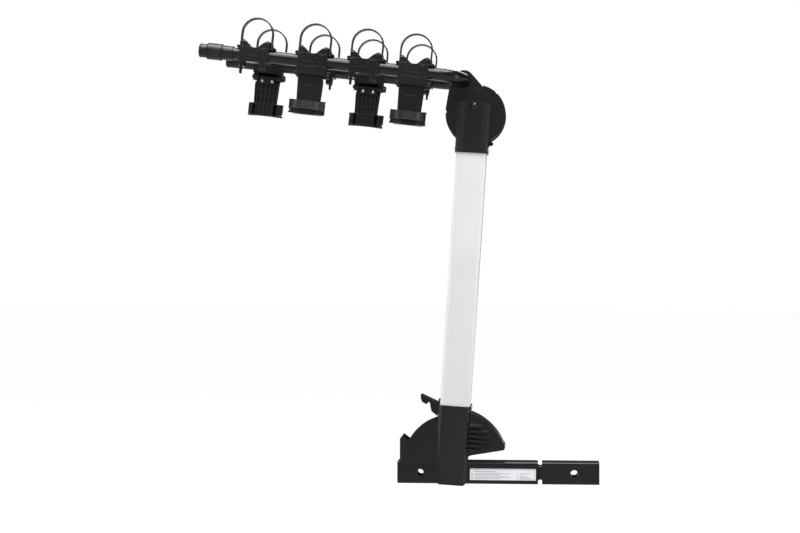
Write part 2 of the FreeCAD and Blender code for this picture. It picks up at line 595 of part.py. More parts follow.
def latch_ball():
    """Ball knob on the end of the latch's tail, with a flat where it meets the tail."""
    end, along = FreeCAD.Vector(40, 0, -69.5), FreeCAD.Vector(0.786, 0, 0.618)
    ball = Part.makeSphere(4.8, end + along * 4.0)
    trim = Part.makeCylinder(8, 10, end - along * 10, along)
    group("latch_ball", [ball.cut(trim)], HEAD)


# ---- arms ------------------------------------------------------------------------------

def arm_tube():
    """One tube bent into a U: two legs joined by a cross part over the hub."""
    body = new_body("arm_tube", ARMS)
    gap, bend = "dims.arm_half_gap", "dims.arm_bend"
    start_x, cross = "dims.arm_end_x", "dims.arm_cross_x"
    path = sketch_on(body, "arm_path", "XY", "dims.arm_offset")
    draw(path, [(start_x, "-" + gap), ("%s - %s" % (cross, bend), "-" + gap, bend),
                (cross, "%s - %s" % (bend, gap)), (cross, "%s - %s" % (gap, bend), bend),
                ("%s - %s" % (cross, bend), gap), (start_x, gap)], closed=False)
    profile = sketch_on(body, "arm_profile", "YZ", start_x)
    draw_circle(profile, "-" + gap, "dims.arm_offset", "dims.arm_outer / 2")
    draw_circle(profile, "-" + gap, "dims.arm_offset", "dims.arm_outer / 2 - dims.arm_wall")
    doc.recompute()
    pipe = body.newObject("PartDesign::AdditivePipe", "arm_pipe")
    pipe.Profile = profile
    pipe.Spine = (path, ["Edge%d" % n for n in range(1, 6)])


def turned(label, side, sections, frame=None, bore=None):
    """Round piece along an arm: sections of (start, end, radius) in arm coordinates."""
    body = new_body(label, frame or ARMS)
    centre = ("%d * dims.arm_half_gap" % side, "dims.arm_offset")
    for index, (start, end, radius) in enumerate(sections):
        prism(body, "step_%d" % (index + 1), "YZ", [("circle",) + centre + (radius,)],
              "(%s + %s) / 2" % (start, end), "abs(%s - (%s))" % (end, start))
    if bore:
        cut(body, "bore", "YZ", [("circle",) + centre + (bore[2],)],
            "(%s + %s) / 2" % (bore[0], bore[1]), "abs(%s - (%s))" % (bore[1], bore[0]))
    return body


def arm_ends():
    half = "dims.arm_outer / 2"
    cap = turned("far_end_cap", 1, [("dims.arm_end_x - 6", "dims.arm_end_x", half),
                                    ("dims.arm_end_x", "dims.arm_end_x + 16", half + " - dims.arm_wall")])
    dress(cap, "Fillet", "round", 4.0, lambda p: p.x < number("dims.arm_end_x - 6") + 0.01)
    turned("lock_ring", -1, [("dims.barrel_start", "dims.ring_start", "16.3"),
                             ("dims.barrel_start + 4", "dims.barrel_start + 7", "17")],
           bore=("dims.barrel_start", "dims.ring_start", half))
    barrel = turned("lock_barrel", -1, [("dims.cap_start", "dims.barrel_start - 0.4", "18.8")],
                    bore=("dims.arm_end_x - 1", "dims.barrel_start", half + " + 0.4"))
    low, high = number("dims.cap_start") + 0.01, number("dims.barrel_start - 0.4") - 0.01
    dress(barrel, "Fillet", "round", 2.0, lambda p: p.x < low or (p.x > high and abs(p.y) > 90 + 16))
    knob = turned("lock_cap", -1, [("dims.cap_end", "dims.cap_start", "15.6")])
    dress(knob, "Fillet", "round", 3.5, lambda p: p.x < number("dims.cap_end") + 0.01)


# ---- carrying stations -----------------------------------------------------------------

def saddle(label, index, side, sways):
    """Moulded V saddle clamped round the arm tube, with its strap hinge and strap hook."""
    body = new_body(label, station(index, side))
    half, leg, drop = "dims.saddle_half", "(dims.saddle_half - dims.saddle_leg)", "dims.sway_pin_z"
    top, valley = "dims.wing_top", "dims.valley"
    if sways:
        feet = [("-" + half, drop), ("-" + leg, drop), ("-" + leg, "-20.4"), (leg, "-20.4"),
                (leg, drop), (half, drop)]
    else:
        feet = [("-" + half, "-27"), ("-20.5", "-27"), ("-20.5", "-16"), ("13.5", "-16"), ("13.5", "-31"),
                ("26", "-31"), ("27.5", "-17"), (half, "-16")]
    crest = [(half, top + " - 2"), (half + " - 2", top), ("24.7", top), ("5.5", valley), ("-5.5", valley),
             ("-24.7", top), ("2 - " + half, top), ("-" + half, top + " - 2")]
    prism(body, "shape", "XZ", [feet + crest], "0", "2 * dims.saddle_side")
    for name, sign in (("near", -1), ("far", 1)):
        for place, inner, low, high in (("wing", "dims.wing_side", "dims.valley", "60"),
                                        ("foot", "9" if sways else "16", "-60", "-dims.saddle_side")):
            span = ("%d * %s" % (sign, inner), "%d * 30" % sign)
            left, right = span if sign > 0 else span[::-1]
            cut(body, place + "_" + name, "YZ", [rect(left, low, right, high)], "0", "100")
    if sways:
        for name, sign in (("rear", -1), ("front", 1)):
            prism(body, "ear_" + name, "YZ", [("circle", "0", drop, "9")],
                  "%d * (dims.saddle_half - dims.saddle_leg / 2)" % sign, "dims.saddle_leg")
        collar = [("-33", "-8"), ("-33", "-27"), ("-28.5", "-32"), ("28.5", "-32"), ("33", "-27"),
                  ("33", "-8")]
        prism(body, "collar", "XZ", [collar], "%d * (dims.saddle_side - 1.5)" % side, "3")
        cut(body, "sway_pin_hole", "YZ", [("circle", "0", drop, "3")], "0", "100")
    else:
        middle = "-29" if side < 0 else "23"
        tail = [(middle + " - 2", "-43"), (middle + " + 2", "-43"), (middle + " + 2.6", "-24"),
                (middle + " - 2.6", "-24")]
        prism(body, "strap_tail", "XZ", [tail], "0", "14")
    cut(body, "strap_slot", "XZ", [rect("-60", "dims.strap_pin_z - 5.4", "-24.4", "60")], "0",
        "2 * dims.strap_half_y + 0.8")
    prism(body, "hinge_pin", "XZ", [("circle", "dims.strap_pin_x", "dims.strap_pin_z", "2")], "0",
          "2 * dims.wing_side")
    lug = [("-33.9", "14.6"), ("-33.9", "20.5"), ("-38", "21"), ("-41.5", "19"), ("-41.5", "15.5"),
           ("-40", "14.6")]
    prism(body, "rear_lug", "XZ", [lug], "0", "2 * dims.hook_half_y")
    hook = [("33.9", "14.6"), ("46.4", "14.6"), ("46.4", "19"), ("44.6", "21"), ("41", "21"), ("41", "17"),
            ("33.9", "17")]
    prism(body, "hook", "XZ", [hook], "0", "2 * dims.hook_half_y")
    cut(body, "tube_bore", "YZ", [("circle", "0", "0", "dims.arm_outer / 2 + 0.05")], "0", "120")


def strap(label, index, side):
    """Rubber hold-down strap: a hinge eye and an arch over the bike's tube, down to the hook."""
    body = new_body(label, station(index, side))
    outer, inner = "dims.strap_radius", "(dims.strap_radius - dims.strap_thick)"
    cx, cz = "dims.strap_centre_x", "(dims.strap_top - dims.strap_radius)"
    loop = [(cx + " - " + outer, "dims.strap_pin_z"), (cx + " - " + inner, "dims.strap_pin_z"),
            (cx + " - " + inner, cz, "-" + inner), (cx, "%s + %s" % (cz, inner), "-" + inner),
            (cx + " + " + inner, cz), (cx + " + " + inner, "dims.strap_end_z"),
            (cx + " + " + outer, "dims.strap_end_z"),
            (cx + " + " + outer, cz, outer), (cx, "dims.strap_top", outer), (cx + " - " + outer, cz)]
    prism(body, "band", "XZ", [loop], "0", "2 * dims.strap_half_y")
    prism(body, "eye", "XZ", [("circle", "dims.strap_pin_x", "dims.strap_pin_z", "4.4")], "0",
          "2 * dims.strap_half_y")
    cut(body, "eye_hole", "XZ", [("circle", "dims.strap_pin_x", "dims.strap_pin_z", "2.06")], "0", "40")


def sway_cradle(label, index, side):
    """Anti-sway arm that hangs on the saddle's pin; its lower end cups the bike's seat tube."""
    body = new_body(label, station(index, side, 0 if side < 0 else 180))
    pz, bottom, wing = "dims.sway_pin_z", "dims.sway_bottom", "dims.sway_wing"
    prism(body, "arm", "XZ", [[("-28.5", "-40.5"), ("-26.3", "-92"), ("26.3", "-92"), ("28.5", "-40.5")]],
          "-4.5", "15")
    prism(body, "web", "YZ", [rect("-8.8", "-46", "7", pz)], "0", "43")
    prism(body, "knuckle", "YZ", [("circle", "0", pz, "7.4")], "0", "43")
    prism(body, "skirt", "XZ", [rect("-28.5", "-44", "28.5", "-34.2")], "-10.8", "2.4")
    for order, x in enumerate((-20, -10, 0, 10, 20)):
        prism(body, "rib_%d" % (order + 1), "XZ", [rect("%d - 1.5" % x, "-91", "%d + 1.5" % x, "-47")],
              "5.5", "7")
    for order, x in enumerate((-17, 17)):
        prism(body, "ridge_%d" % (order + 1), "XZ", [rect("%d - 1.4" % x, "-90", "%d + 1.4" % x, "-48")],
              "-12.3", "1.2")
    cup = [("-" + wing, "-12"), ("-" + wing, "-22"), ("3 - " + wing, "-22"), ("-13", "-8"), ("13", "-8"),
           (wing + " - 3", "-22"), (wing, "-22"), (wing, "-12"), ("19", "7"), ("-19", "7")]
    prism(body, "cup", "XY", [cup], bottom + " + dims.sway_height / 2", "dims.sway_height")
    lug = [("-31", "-9"), ("-41", "-13"), ("-41.4", "-19"), ("-38", "-21.5"), ("-31", "-21.5")]
    mirror_lug = [("31", "-9"), ("31", "-21.5"), ("38", "-21.5"), ("41.4", "-19"), ("41", "-13")]
    for name, z in (("low", "%s + 1.75" % bottom), ("high", "%s + dims.sway_height - 1.75" % bottom)):
        prism(body, "lug_" + name, "XY", [lug], z, "3.5")
        prism(body, "hook_" + name, "XY", [mirror_lug], z, "3.5")
    prism(body, "strap_pin", "XY", [("circle", "dims.sway_pin_x", "dims.sway_pin_y", "1.6")],
          bottom + " + dims.sway_height / 2", "dims.sway_height")
    cut(body, "pin_hole", "YZ", [("circle", "0", pz, "3.06")], "0", "100")


def sway_strap(label, index, side):
    """Rubber loop that closes round the bike's seat tube."""
    body = new_body(label, station(index, side, 0 if side < 0 else 180))
    outer, inner = "dims.loop_radius", "(dims.loop_radius - dims.loop_thick)"
    loop = [("-" + outer, "dims.sway_pin_y"), ("-" + inner, "dims.sway_pin_y"), ("-" + inner, "-24", inner),
            ("0", "-24 - " + inner, inner), (inner, "-24"), (inner, "-14"), (outer, "-14"),
            (outer, "-24", "-" + outer), ("0", "-24 - " + outer, "-" + outer), ("-" + outer, "-24")]
    prism(body, "band", "XY", [loop], "dims.loop_middle", "dims.loop_height")
    prism(body, "eye", "XY", [("circle", "dims.sway_pin_x", "dims.sway_pin_y", "3.6")],
          "dims.loop_middle", "dims.loop_height")
    cut(body, "eye_hole", "XY", [("circle", "dims.sway_pin_x", "dims.sway_pin_y", "1.66")],
        "dims.loop_middle", "40")


def sway_pins():
    """Hinge pins of the anti-sway cradles, each with a knob and a small head."""
    solids = []
    z = number("dims.sway_pin_z")
    for index, side in SWAY_STATIONS:
        pin = cylinder(0, 0, z, 3.0, 68, (1, 0, 0))
        knob = cylinder(37.5, 0, z, 6.5, 7, (1, 0, 0))
        head = cylinder(-35.5, 0, z, 4.5, 3, (1, 0, 0))
        solid = pin.fuse([knob, head]).removeSplitter()
        solid.Placement = ARMS.inverse().multiply(station(index, side))
        solids.append(solid)
    group("sway_pins", solids, ARMS)


hitch_tube()
rear_plug()
hitch_shank()
weld_plate()
adapter_sleeve()
label_plate()
quadrant_plate("quadrant_plate_near", -1)
quadrant_plate("quadrant_plate_far", 1)
pivot_shaft()
mast_tube()
mast_fork()
mast_head()
fan_guard()
bushes("pivot_bushes", MAST, "dims.pivot_rod")
bushes("hub_bushes", AXLE, "dims.hub_rod")
mast_screws()
head_button()
cross_pin("lever_pin", MAST, "dims.lever_pin_x", "dims.lever_pin_z", "4")
cross_pin("latch_pin", HEAD, "dims.latch_pin_x", "dims.latch_pin_z", "3")
cross_pin("hub_rod", HEAD, "dims.axle_x", "dims.axle_z", "dims.hub_rod / 2")
tilt_lever()
lock_bar()
arm_latch()
latch_ball()
bracket_plate("bracket_plate_near", -1)
bracket_plate("bracket_plate_far", 1)
hub_barrel()
hub_disc("hub_disc_near", -1)
hub_disc("hub_disc_far", 1)
arm_tube()
arm_ends()
for side, word in SIDES:
    for index in range(4):
        place = "%s_%d" % (word, index + 1)
        saddle("saddle_" + place, index, side, (index, side) in SWAY_STATIONS)
        strap("strap_" + place, index, side)
        if (index, side) in SWAY_STATIONS:
            sway_cradle("sway_cradle_" + place, index, side)
            sway_strap("sway_strap_" + place, index, side)
sway_pins()

# ---- place, check and export -----------------------------------------------------------

doc.recompute()
for feature, frame in PARTS:
    if frame is not None:
        feature.Placement = frame
doc.recompute()
failed = [item.Label for item in doc.Objects if "Invalid" in item.State or "Error" in item.State]
if failed:
    raise RuntimeError("failed to build: %s" % ", ".join(failed))
for feature, _ in PARTS:
    if feature.Shape.isNull() or not feature.Shape.isValid():
        raise RuntimeError("%s has no valid shape" % feature.Label)
for feature, _ in PARTS:
    feature.Shape.exportStep("parts/%s.step" % feature.Label)
    print("%-24s %8.1f cm3 %d solid(s)" % (feature.Label, feature.Shape.Volume / 1000,
                                           len(feature.Shape.Solids)))
print(len(PARTS), "nodes")
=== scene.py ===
"""Hitch mounted bike rack: materials, moulded detail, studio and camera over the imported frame.

The camera and the studio are in metres. The moulded forms are in millimetres, in frames that
follow the mast, the arms and the stations along the arms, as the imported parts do.
"""

import json
import math

import bmesh
import bpy
from mathutils import Matrix, Vector


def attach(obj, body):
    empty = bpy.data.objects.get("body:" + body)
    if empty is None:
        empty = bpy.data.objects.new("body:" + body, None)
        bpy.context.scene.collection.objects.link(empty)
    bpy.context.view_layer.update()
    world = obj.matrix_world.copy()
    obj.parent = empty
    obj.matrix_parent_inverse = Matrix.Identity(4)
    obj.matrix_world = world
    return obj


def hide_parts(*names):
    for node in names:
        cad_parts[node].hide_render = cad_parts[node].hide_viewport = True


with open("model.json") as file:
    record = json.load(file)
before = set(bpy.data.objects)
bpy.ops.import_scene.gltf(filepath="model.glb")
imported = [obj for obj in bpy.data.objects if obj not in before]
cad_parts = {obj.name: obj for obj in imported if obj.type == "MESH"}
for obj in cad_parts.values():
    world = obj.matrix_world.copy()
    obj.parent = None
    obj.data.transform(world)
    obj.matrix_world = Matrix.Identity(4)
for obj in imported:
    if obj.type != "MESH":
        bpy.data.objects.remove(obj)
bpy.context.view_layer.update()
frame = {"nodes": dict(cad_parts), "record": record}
scene = bpy.context.scene

MM, PER_METRE = 0.001, 1000.0
SIDES = ((-1, "near"), (1, "far"))
MAST_LEAN, ARM_RISE = 3.7, 6.3  # degrees

# ---- camera and studio -----------------------------------------------------------------

LENS, SENSOR = 75.0, 36.0
CAMERA_PLACE = (-0.1003, -3.8324, 0.4714)
CAMERA_LEVEL, CAMERA_HEADING = 90.0, 4.459  # degrees: level, and turned left of +Y

camera_data = bpy.data.cameras.new("camera")
camera_data.lens = LENS
camera_data.sensor_width = SENSOR
camera = bpy.data.objects.new("camera", camera_data)
camera.location = CAMERA_PLACE
camera.rotation_euler = (math.radians(CAMERA_LEVEL), 0.0, math.radians(CAMERA_HEADING))
scene.collection.objects.link(camera)
scene.camera = camera
scene.view_settings.view_transform = "Standard"

# Each lamp has a name, a place, a width and height, and a power in watts. All aim at RACK_MIDDLE.
RACK_MIDDLE = (-0.3, 0.0, 0.5)
LAMPS = (
    ("left", (-2.8, -0.75, 0.75), (0.5, 2.2), 14.0),
    ("right", (2.2, -0.75, 0.75), (0.5, 2.2), 14.0),
    ("left_front", (-1.7, -3.2, 1.5), (0.25, 1.6), 6.0),
    ("right_front", (1.1, -3.2, 1.5), (0.25, 1.6), 6.0),
    ("front_top", (-0.3, -2.4, 2.9), (1.6, 0.6), 45.0),
    ("front_panel", (-0.3, -4.3, 1.3), (1.8, 0.9), 4.0),
    ("top", (-0.3, -0.45, 3.0), (2.6, 1.9), 230.0),
    ("back", (-0.4, 2.6, 2.4), (2.8, 0.8), 30.0),
)


def area_light(name, position, size, power):
    data = bpy.data.lights.new(name, "AREA")
    data.shape = "RECTANGLE"
    data.size, data.size_y = size
    data.energy = power
    lamp = bpy.data.objects.new(name, data)
    lamp.location = position
    aim = Vector(RACK_MIDDLE) - Vector(position)
    lamp.rotation_euler = aim.to_track_quat("-Z", "Y").to_euler()
    scene.collection.objects.link(lamp)


for lamp_entry in LAMPS:
    area_light(*lamp_entry)

# The world is white where the camera sees it, and only a faint fill for everything else.
FILL_STRENGTH, BACKDROP_STRENGTH = 0.06, 1.0
WHITE = (1.0, 1.0, 1.0, 1.0)

world = bpy.data.worlds.new("studio")
world.use_nodes = True
world_nodes, world_links = world.node_tree.nodes, world.node_tree.links
fill = world_nodes["Background"]
fill.inputs["Color"].default_value = WHITE
fill.inputs["Strength"].default_value = FILL_STRENGTH
backdrop = world_nodes.new("ShaderNodeBackground")
backdrop.inputs["Color"].default_value = WHITE
backdrop.inputs["Strength"].default_value = BACKDROP_STRENGTH
ray = world_nodes.new("ShaderNodeLightPath")
either = world_nodes.new("ShaderNodeMixShader")
world_links.new(ray.outputs["Is Camera Ray"], either.inputs["Fac"])
world_links.new(fill.outputs["Background"], either.inputs[1])
world_links.new(backdrop.outputs["Background"], either.inputs[2])
world_links.new(either.outputs["Shader"], world_nodes["World Output"].inputs["Surface"])
scene.world = world

# The floor lies well below the rack, which a vehicle's hitch holds up.
FLOOR_Z, FLOOR_REACH = -0.42, 30.0
floor_corners = [(-FLOOR_REACH, -FLOOR_REACH, FLOOR_Z), (FLOOR_REACH, -FLOOR_REACH, FLOOR_Z),
                 (FLOOR_REACH, FLOOR_REACH, FLOOR_Z), (-FLOOR_REACH, FLOOR_REACH, FLOOR_Z)]
floor_mesh = bpy.data.meshes.new("floor")
floor_mesh.from_pydata(floor_corners, [], [(0, 1, 2, 3)])
floor = bpy.data.objects.new("floor", floor_mesh)
scene.collection.objects.link(floor)

# ---- materials -------------------------------------------------------------------------

# What all materials share: the coat's roughness, the detail and mix of the two noises that
# mottle the colour, and the range of pointiness that counts as an edge and how pale it gets.
# The paler edge is partly wear and partly a painted highlight along the edges.
COAT_ROUGHNESS = 0.16
BROAD_DETAIL, FINE_DETAIL = 6.0, 3.0
FINE_SHARE = 0.35
MOTTLE_LOW, MOTTLE_HIGH = 0.45, 0.90
EDGE_LOW, EDGE_HIGH = 0.53, 0.62
EDGE_WEAR_SHEEN_LIFT = 4.0


def surface(name, dark, light, roughness, metallic=0.0, grain=900.0, bump=0.15, depth=0.0002,
            stretch=(1, 1, 1), lean=0.0, patch=9.0, vary=0.06, coat=0.0, specular=0.5, wear_and_sheen=0.0, glow=0.0):
    """Material with mottled colour, uneven gloss and a fine grain, in object coordinates.

    Its edges can be paler, partly as wear and partly as a painted highlight. With glow, it shines evenly by
    itself.
    """
    material = bpy.data.materials.new(name)
    material.use_nodes = True
    nodes, links = material.node_tree.nodes, material.node_tree.links
    shader = nodes["Principled BSDF"]
    shader.inputs["Metallic"].default_value = metallic
    shader.inputs["Specular IOR Level"].default_value = specular
    shader.inputs["Coat Weight"].default_value = coat
    shader.inputs["Coat Roughness"].default_value = COAT_ROUGHNESS
    shader.inputs["Emission Color"].default_value = WHITE
    shader.inputs["Emission Strength"].default_value = glow

    coordinates = nodes.new("ShaderNodeTexCoord")
    mapping = nodes.new("ShaderNodeMapping")
    mapping.inputs["Rotation"].default_value = (0.0, math.radians(lean), 0.0)
    mapping.inputs["Scale"].default_value = stretch
    links.new(coordinates.outputs["Object"], mapping.inputs["Vector"])
    broad = nodes.new("ShaderNodeTexNoise")
    broad.inputs["Scale"].default_value = patch
    broad.inputs["Detail"].default_value = BROAD_DETAIL
    links.new(coordinates.outputs["Object"], broad.inputs["Vector"])
    fine = nodes.new("ShaderNodeTexNoise")
    fine.inputs["Scale"].default_value = grain
    fine.inputs["Detail"].default_value = FINE_DETAIL
    links.new(mapping.outputs["Vector"], fine.inputs["Vector"])

    colour = nodes.new("ShaderNodeMix")
    colour.data_type = "RGBA"
    colour.inputs["A"].default_value = (*dark, 1.0)
    colour.inputs["B"].default_value = (*light, 1.0)
    mottle = nodes.new("ShaderNodeMath")
    mottle.operation = "MULTIPLY_ADD"
    mottle.inputs[1].default_value = FINE_SHARE
    links.new(fine.outputs["Fac"], mottle.inputs[0])
    links.new(broad.outputs["Fac"], mottle.inputs[2])
    ramp = nodes.new("ShaderNodeMapRange")
    ramp.inputs["From Min"].default_value = MOTTLE_LOW
    ramp.inputs["From Max"].default_value = MOTTLE_HIGH
    links.new(mottle.outputs[0], ramp.inputs["Value"])
    links.new(ramp.outputs["Result"], colour.inputs["Factor"])
    result = colour
    # Paler edges where pointiness is high: partly worn edges, partly a painted highlight along them.
    if wear_and_sheen:
        geometry = nodes.new("ShaderNodeNewGeometry")
        edge = nodes.new("ShaderNodeMapRange")
        edge.inputs["From Min"].default_value = EDGE_LOW
        edge.inputs["From Max"].default_value = EDGE_HIGH
        edge.inputs["To Max"].default_value = wear_and_sheen
        links.new(geometry.outputs["Pointiness"], edge.inputs["Value"])
        result = nodes.new("ShaderNodeMix")
        result.data_type = "RGBA"
        result.inputs["B"].default_value = (*[min(1.0, EDGE_WEAR_SHEEN_LIFT * c) for c in light], 1.0)
        links.new(edge.outputs["Result"], result.inputs["Factor"])
        links.new(colour.outputs["Result"], result.inputs["A"])
    links.new(result.outputs["Result"], shader.inputs["Base Color"])

    gloss = nodes.new("ShaderNodeMapRange")
    gloss.inputs["To Min"].default_value = roughness - vary
    gloss.inputs["To Max"].default_value = roughness + vary
    links.new(broad.outputs["Fac"], gloss.inputs["Value"])
    links.new(gloss.outputs["Result"], shader.inputs["Roughness"])
    relief = nodes.new("ShaderNodeBump")
    relief.inputs["Strength"].default_value = bump
    relief.inputs["Distance"].default_value = depth
    links.new(fine.outputs["Fac"], relief.inputs["Height"])
    links.new(relief.outputs["Normal"], shader.inputs["Normal"])
    return material


# The aluminium's grain runs along the leaning mast.
FINISH = {
    "black_coat": surface("black_coat", (0.0018, 0.0020, 0.0019), (0.0042, 0.0044, 0.0043), 0.25,
                          grain=420.0, bump=0.05, depth=0.00002, coat=0.06, specular=0.21),
    "silver_aluminium": surface("silver_aluminium", (0.500, 0.511, 0.516), (0.545, 0.555, 0.560), 0.38,
                                metallic=0.15, grain=300.0, stretch=(1.0, 1.0, 0.015), lean=-MAST_LEAN,
                                bump=0.08, depth=0.00004),
    # The plastic's paler edges are partly wear and partly a painted highlight.
    "black_plastic": surface("black_plastic", (0.0022, 0.0024, 0.0023), (0.0055, 0.0058, 0.0056), 0.29,
                             grain=1400.0, bump=0.10, depth=0.00003, specular=0.22, wear_and_sheen=0.2),
    "strap_rubber": surface("strap_rubber", (0.008, 0.0082, 0.0084), (0.017, 0.0175, 0.018), 0.34,
                            grain=1100.0, bump=0.12, depth=0.00004, specular=0.34),
    "zinc_steel": surface("zinc_steel", (0.42, 0.42, 0.41), (0.62, 0.62, 0.61), 0.32,
                          metallic=1.0, grain=800.0),
    "nylon": surface("nylon", (0.70, 0.68, 0.62), (0.80, 0.78, 0.72), 0.5, grain=800.0),
    "label_foil": surface("label_foil", (0.60, 0.61, 0.64), (0.74, 0.75, 0.78), 0.30,
                          metallic=0.3, grain=500.0),
}
INK = surface("label_ink", (0.10, 0.10, 0.11), (0.20, 0.20, 0.22), 0.45, grain=900.0)
FLOOR_WHITE = surface("floor_white", (0.16, 0.16, 0.16), (0.18, 0.18, 0.18), 0.8,
                      grain=40.0, patch=1.5, bump=0.02, specular=0.0, glow=0.97)
floor.data.materials.append(FLOOR_WHITE)

# Width in millimetres of the rounding on each node whose name starts like this. The mast's fork
# has none, because the modifier would leave stray faces over its open top.
SOFT_EDGE = {"sway_cradle": 0.8, "strap": 0.5, "sway_strap": 0.6, "mast_head": 2.0, "fan_guard": 0.6,
             "hitch_tube": 0.25, "tilt_lever": 0.3, "quadrant": 0.5, "bracket": 0.6, "hub_disc": 0.7,
             "arm_latch": 0.5, "rear_plug": 0.4, "adapter_sleeve": 0.4, "hitch_shank": 0.4, "lock_ring": 0.4}
# Points within WELD_GAP metres are joined. Faces within FLAT_ANGLE degrees become one flat face,
# and edges sharper than ROUNDED_ANGLE degrees are rounded.
WELD_GAP = 0.00002
FLAT_ANGLE, ROUNDED_ANGLE = 0.6, 32.0


def round_edges(item, width, keep_sharp):
    """Modifiers that bevel the sharp edges by a width in millimetres and even out the shading."""
    round_off = item.modifiers.new("round", "BEVEL")
    round_off.width = width * MM
    round_off.segments = 2
    round_off.limit_method = "ANGLE"
    round_off.angle_limit = math.radians(ROUNDED_ANGLE)
    shade = item.modifiers.new("shade", "WEIGHTED_NORMAL")
    shade.keep_sharp = keep_sharp


def soften(item, width):
    """Rounded edges over a node's mesh, with its loose triangles joined into flat faces first."""
    weld = item.modifiers.new("weld", "WELD")
    weld.merge_threshold = WELD_GAP
    flat = item.modifiers.new("flat", "DECIMATE")
    flat.decimate_type = "DISSOLVE"
    flat.angle_limit = math.radians(FLAT_ANGLE)
    round_edges(item, width, keep_sharp=True)


slots = {entry["node"]: entry["material_slot"] for entry in frame["record"]["subparts"]}
for name, node in frame["nodes"].items():
    node.data.materials.clear()
    node.data.materials.append(FINISH[slots[name]])
    for start, width in SOFT_EDGE.items():
        if name.startswith(start):
            soften(node, width)


# ---- frames of the rack ----------------------------------------------------------------

def place(x, y, z, pitch, turn=0.0):
    """Matrix of a frame whose own units are millimetres, pitched about +Y after a turn about +Z."""
    spin = Matrix.Rotation(math.radians(pitch), 4, "Y") @ Matrix.Rotation(math.radians(turn), 4, "Z")
    return Matrix.Translation(Vector((x, y, z)) * MM) @ spin @ Matrix.Scale(MM, 4)


PIVOT_X, PIVOT_Z = -280.0, 15.0
MAST_REACH, ARM_OFFSET, ARM_GAP = 809.0, 72.0, 90.0
# How far along each arm its four stations are, and which stations carry a cradle.
STATIONS = {-1: (-505.5, -372.0, -253.5, -142.5), 1: (-500.5, -374.0, -259.0, -142.5)}
SWAY_STATIONS = ((1, -1), (3, -1), (0, 1), (2, 1))
MAST = place(PIVOT_X, 0.0, PIVOT_Z, MAST_LEAN)
HUB = MAST @ Vector((0.0, 0.0, MAST_REACH)) * PER_METRE
HEAD = place(HUB.x, 0.0, HUB.z, MAST_LEAN)
ARMS = place(HUB.x, 0.0, HUB.z, ARM_RISE)
WORLD = place(0.0, 0.0, 0.0, 0.0)


def station(index, side, turn=0.0):
    """Frame on an arm's centreline at one station; side is -1 near, +1 far."""
    point = ARMS @ Vector((STATIONS[side][index], side * ARM_GAP, ARM_OFFSET)) * PER_METRE
    return place(point.x, point.y, point.z, ARM_RISE, turn)


def towards(matrix, point, direction):
    """Frame at a point of another frame, with its +Z along a direction of that frame."""
    turn = Vector(direction).to_track_quat("Z", "Y").to_matrix().to_4x4()
    return matrix @ Matrix.Translation(Vector(point)) @ turn


# ---- forms -----------------------------------------------------------------------------

